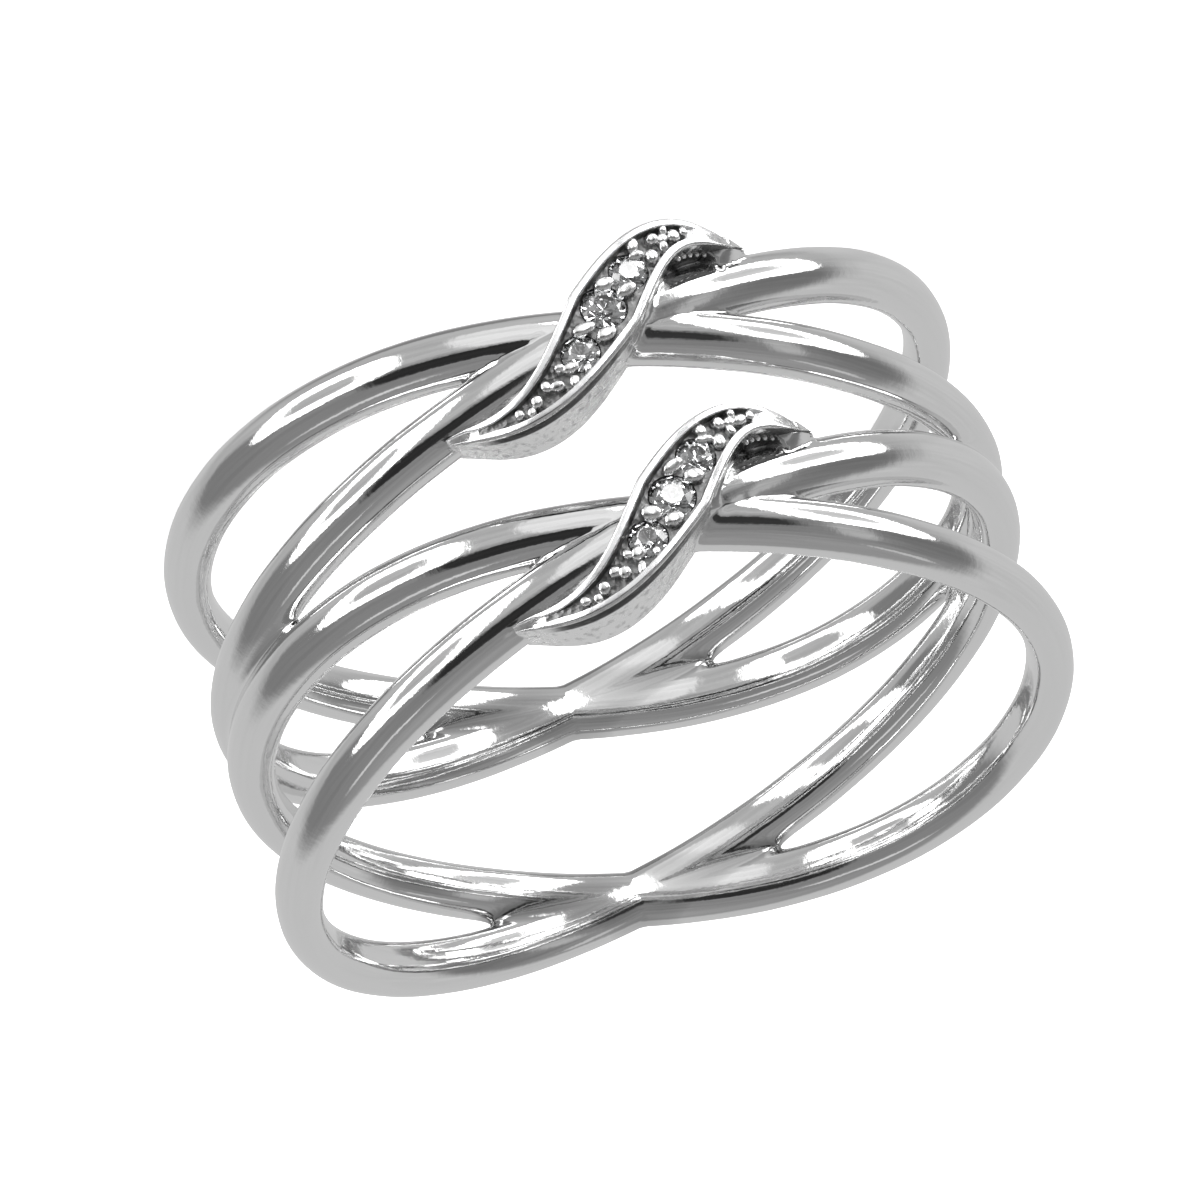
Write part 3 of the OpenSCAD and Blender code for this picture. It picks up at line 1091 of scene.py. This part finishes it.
def beads_piece(band):
    """The small bright beads raised between the stones and along the tails."""
    chance = random.Random(BEAD_SEED + band)
    shape = bmesh.new()
    for bead in BEADS:
        add_bead(shape, band, bead, chance)
    for t in np.linspace(*VALLEY_DOTS):
        add_dot(shape, band, t)
    for face in shape.faces:
        face.smooth = True
    return object_of(shape, f"beads_{PLATE_NUMBER[band]}", BEAD_METAL)


def build():
    """All pieces, each on the part's one body."""
    pieces = [(wires_piece(), "white_metal")]
    for band in BANDS:
        pieces.append((plate_piece(band), "white_metal"))
        pieces.append((beads_piece(band), "white_metal"))
        for place in (-1, 0, 1):
            pieces.append((stone_piece(band, place), "stone"))
    for obj, slot in pieces:
        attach(obj, "root")


# Stage: floor, light and camera
FLOOR_SIZE = 0.6
FLOOR_Z = -0.00001
FLOOR_GLOW = 0.65
OVERHEAD_HEIGHT = 0.35
OVERHEAD_SIZE = 0.5
OVERHEAD_POWER = 2.0
BACKDROP = 0.9

# The studio round the ring: azimuth from the front towards +X and elevation of a soft box's middle,
# half its width and height, all in degrees, the softness of its edge and its brightness
ROOM = 0.26
STUDIO = (
    ("ceiling", 0, 90, 360, 42, 0.5, 0.34),
    ("right_line", 82, 42, 22, 3, 0.3, 0.75),
    ("left_line", -76, 52, 18, 3, 0.3, 0.6),
    ("back_wall", -164, 0, 73, 62, 0.12, 0.62),
    ("low_wall", 14, -62, 125, 50, 0.15, 0.52),
    ("right_side", 104, -10, 15, 25, 0.2, 0.24),
    ("left_side", -75, 12, 13, 21, 0.5, 0.2),
    ("left_streak", -50, 12, 6, 18, 0.5, 0.5),
    ("dark_right", 33, 5, 25, 14, 0.15, 0.03),
    ("dark_left", -17, 4, 19, 12, 0.25, 0.04),
    ("panel", 7, -36, 20, 27, 0.12, 0.9),
    ("strip", -12, -32, 5, 24, 0.15, 5.0),
    ("left_box", -62, -30, 22, 22, 0.08, 5.0),
    ("left_core", -62, -30, 11, 12, 0.3, 0.7),
    ("right_box", 69, -34, 25, 27, 0.08, 5.0),
    ("right_core", 69, -32, 14, 15, 0.25, 0.56),
)
BOX_ROUNDNESS = 3
STUDIO_MOTTLE = 0.5
MOTTLE_SCALE = 1.5
MOTTLE_DETAIL = 3
MOTTLE_STRETCH = (1, 1, 6)
# Small bright spots that only the stones see, which make them sparkle
SPARKLE_SCALE = 5
SPARKLE_SIZE = 0.25
SPARKLE = 7.0
LIGHT_MAP_SIZE = 512


def floor_material(tree):
    """A plain pale floor that glows a little, so the ring's shadow stays soft."""
    return {
        "Base Color": (0.9, 0.9, 0.9, 1),
        "Roughness": 0.7,
        "Emission Color": (1, 1, 1, 1),
        "Emission Strength": FLOOR_GLOW,
    }


def floor():
    mesh = bpy.data.meshes.new("floor")
    s = FLOOR_SIZE / 2
    corners = [(x, y, FLOOR_Z) for x, y in ((-s, -s), (s, -s), (s, s), (-s, s))]
    mesh.from_pydata(corners, [], [(0, 1, 2, 3)])
    mesh.materials.append(new_material("floor", floor_material))
    obj = link_object("floor", mesh)
    obj.visible_glossy = False
    obj.visible_transmission = False


def lights():
    """Light for the floor alone: the studio's world lights the metal and the stones."""
    light = bpy.data.lights.new("overhead", "AREA")
    light.size = OVERHEAD_SIZE
    light.energy = OVERHEAD_POWER
    obj = link_object("overhead", light)
    obj.location = (0, 0, OVERHEAD_HEIGHT)
    obj.visible_glossy = False
    obj.visible_transmission = False


def soft_box(tree, azimuth, elevation, box):
    """How fully a direction lies in a soft box, from 0 to 1."""
    middle, height, half_w, half_h, softness = box
    around = calc(tree, "WRAP", calc(tree, "SUBTRACT", azimuth, middle), 180, -180)
    aside = calc(tree, "DIVIDE", around, half_w)
    above = calc(tree, "DIVIDE", calc(tree, "SUBTRACT", elevation, height), half_h)
    powers = [calc(tree, "POWER", calc(tree, "ABSOLUTE", x), BOX_ROUNDNESS) for x in (aside, above)]
    outward = calc(tree, "POWER", calc(tree, "ADD", *powers), 1 / BOX_ROUNDNESS)
    inputs = {"Value": outward, "From Min": 1 + softness, "From Max": 1 - softness}
    return add_node(tree, "MapRange", inputs, interpolation_type="SMOOTHSTEP").outputs["Result"]


def world():
    """A studio of soft boxes, drawn by direction. The camera itself sees a plain backdrop."""
    studio = bpy.data.worlds.new("studio")
    studio.use_nodes = True
    tree = studio.node_tree
    direction = add_node(tree, "TexCoord", {}).outputs["Generated"]
    x, y, z = add_node(tree, "SeparateXYZ", {"Vector": direction}).outputs
    azimuth = calc(tree, "DEGREES", calc(tree, "ARCTAN2", x, calc(tree, "MULTIPLY", y, -1)))
    elevation = calc(tree, "DEGREES", calc(tree, "ARCSINE", z))
    light = ROOM
    for _, *box, brightness in STUDIO:
        inside = soft_box(tree, azimuth, elevation, box)
        light = calc(tree, "MULTIPLY_ADD", calc(tree, "SUBTRACT", brightness, light), inside, light)
    mottle = noise(tree, MOTTLE_SCALE, MOTTLE_DETAIL, direction, MOTTLE_STRETCH)
    in_front = calc(tree, "MULTIPLY_ADD", y, -STUDIO_MOTTLE, STUDIO_MOTTLE)
    uneven = calc(tree, "MULTIPLY_ADD", calc(tree, "SUBTRACT", mottle, 0.5), in_front, 1)
    light = calc(tree, "MULTIPLY", light, uneven)
    path = add_node(tree, "LightPath", {})
    spots = add_node(tree, "TexVoronoi", {"Vector": direction, "Scale": SPARKLE_SCALE})
    in_spot = calc(tree, "LESS_THAN", spots.outputs["Distance"], SPARKLE_SIZE)
    sparkle = calc(tree, "MULTIPLY", in_spot, SPARKLE)
    light = calc(tree, "MULTIPLY_ADD", sparkle, path.outputs["Is Transmission Ray"], light)
    to_backdrop = calc(tree, "SUBTRACT", BACKDROP, light)
    light = calc(tree, "MULTIPLY_ADD", to_backdrop, path.outputs["Is Camera Ray"], light)
    connect(tree, tree.nodes["Background"], {"Strength": light, "Color": (1, 1, 1, 1)})
    studio.cycles.sampling_method = "MANUAL"
    studio.cycles.sample_map_resolution = LIGHT_MAP_SIZE
    bpy.context.scene.world = studio


# The camera, fitted to the photograph's 1200 x 1200 frame
CAMERA_AZIMUTH = 12.209
CAMERA_ELEVATION = 25.077
CAMERA_ROLL = 158.933
CAMERA_DISTANCE = 0.1941
CAMERA_AIM = (-0.0000961, 0.0017082, 0.0036112)
FOCAL_PIXELS = 8262.7
FRAME_PIXELS = 1200
SENSOR = 36
NEAREST_SEEN = 0.01


def polar(azimuth, elevation, distance):
    """A point, in metres, seen from the ring: azimuth from the front towards +X, in degrees."""
    a = math.radians(azimuth)
    e = math.radians(elevation)
    return Vector((math.sin(a) * math.cos(e), -math.cos(a) * math.cos(e), math.sin(e))) * distance


def camera():
    data = bpy.data.cameras.new("camera")
    data.sensor_width = SENSOR
    data.lens = FOCAL_PIXELS / FRAME_PIXELS * SENSOR
    data.clip_start = NEAREST_SEEN
    obj = link_object("camera", data)
    position = polar(CAMERA_AZIMUTH, CAMERA_ELEVATION, CAMERA_DISTANCE)
    facing = (-position).to_track_quat("-Z", "Y").to_matrix().to_4x4()
    roll = Matrix.Rotation(math.radians(CAMERA_ROLL), 4, "Z")
    obj.matrix_world = Matrix.Translation(position + Vector(CAMERA_AIM)) @ facing @ roll
    bpy.context.scene.camera = obj


camera()
build()
floor()
lights()
world()
bpy.context.scene.view_settings.view_transform = "Standard"
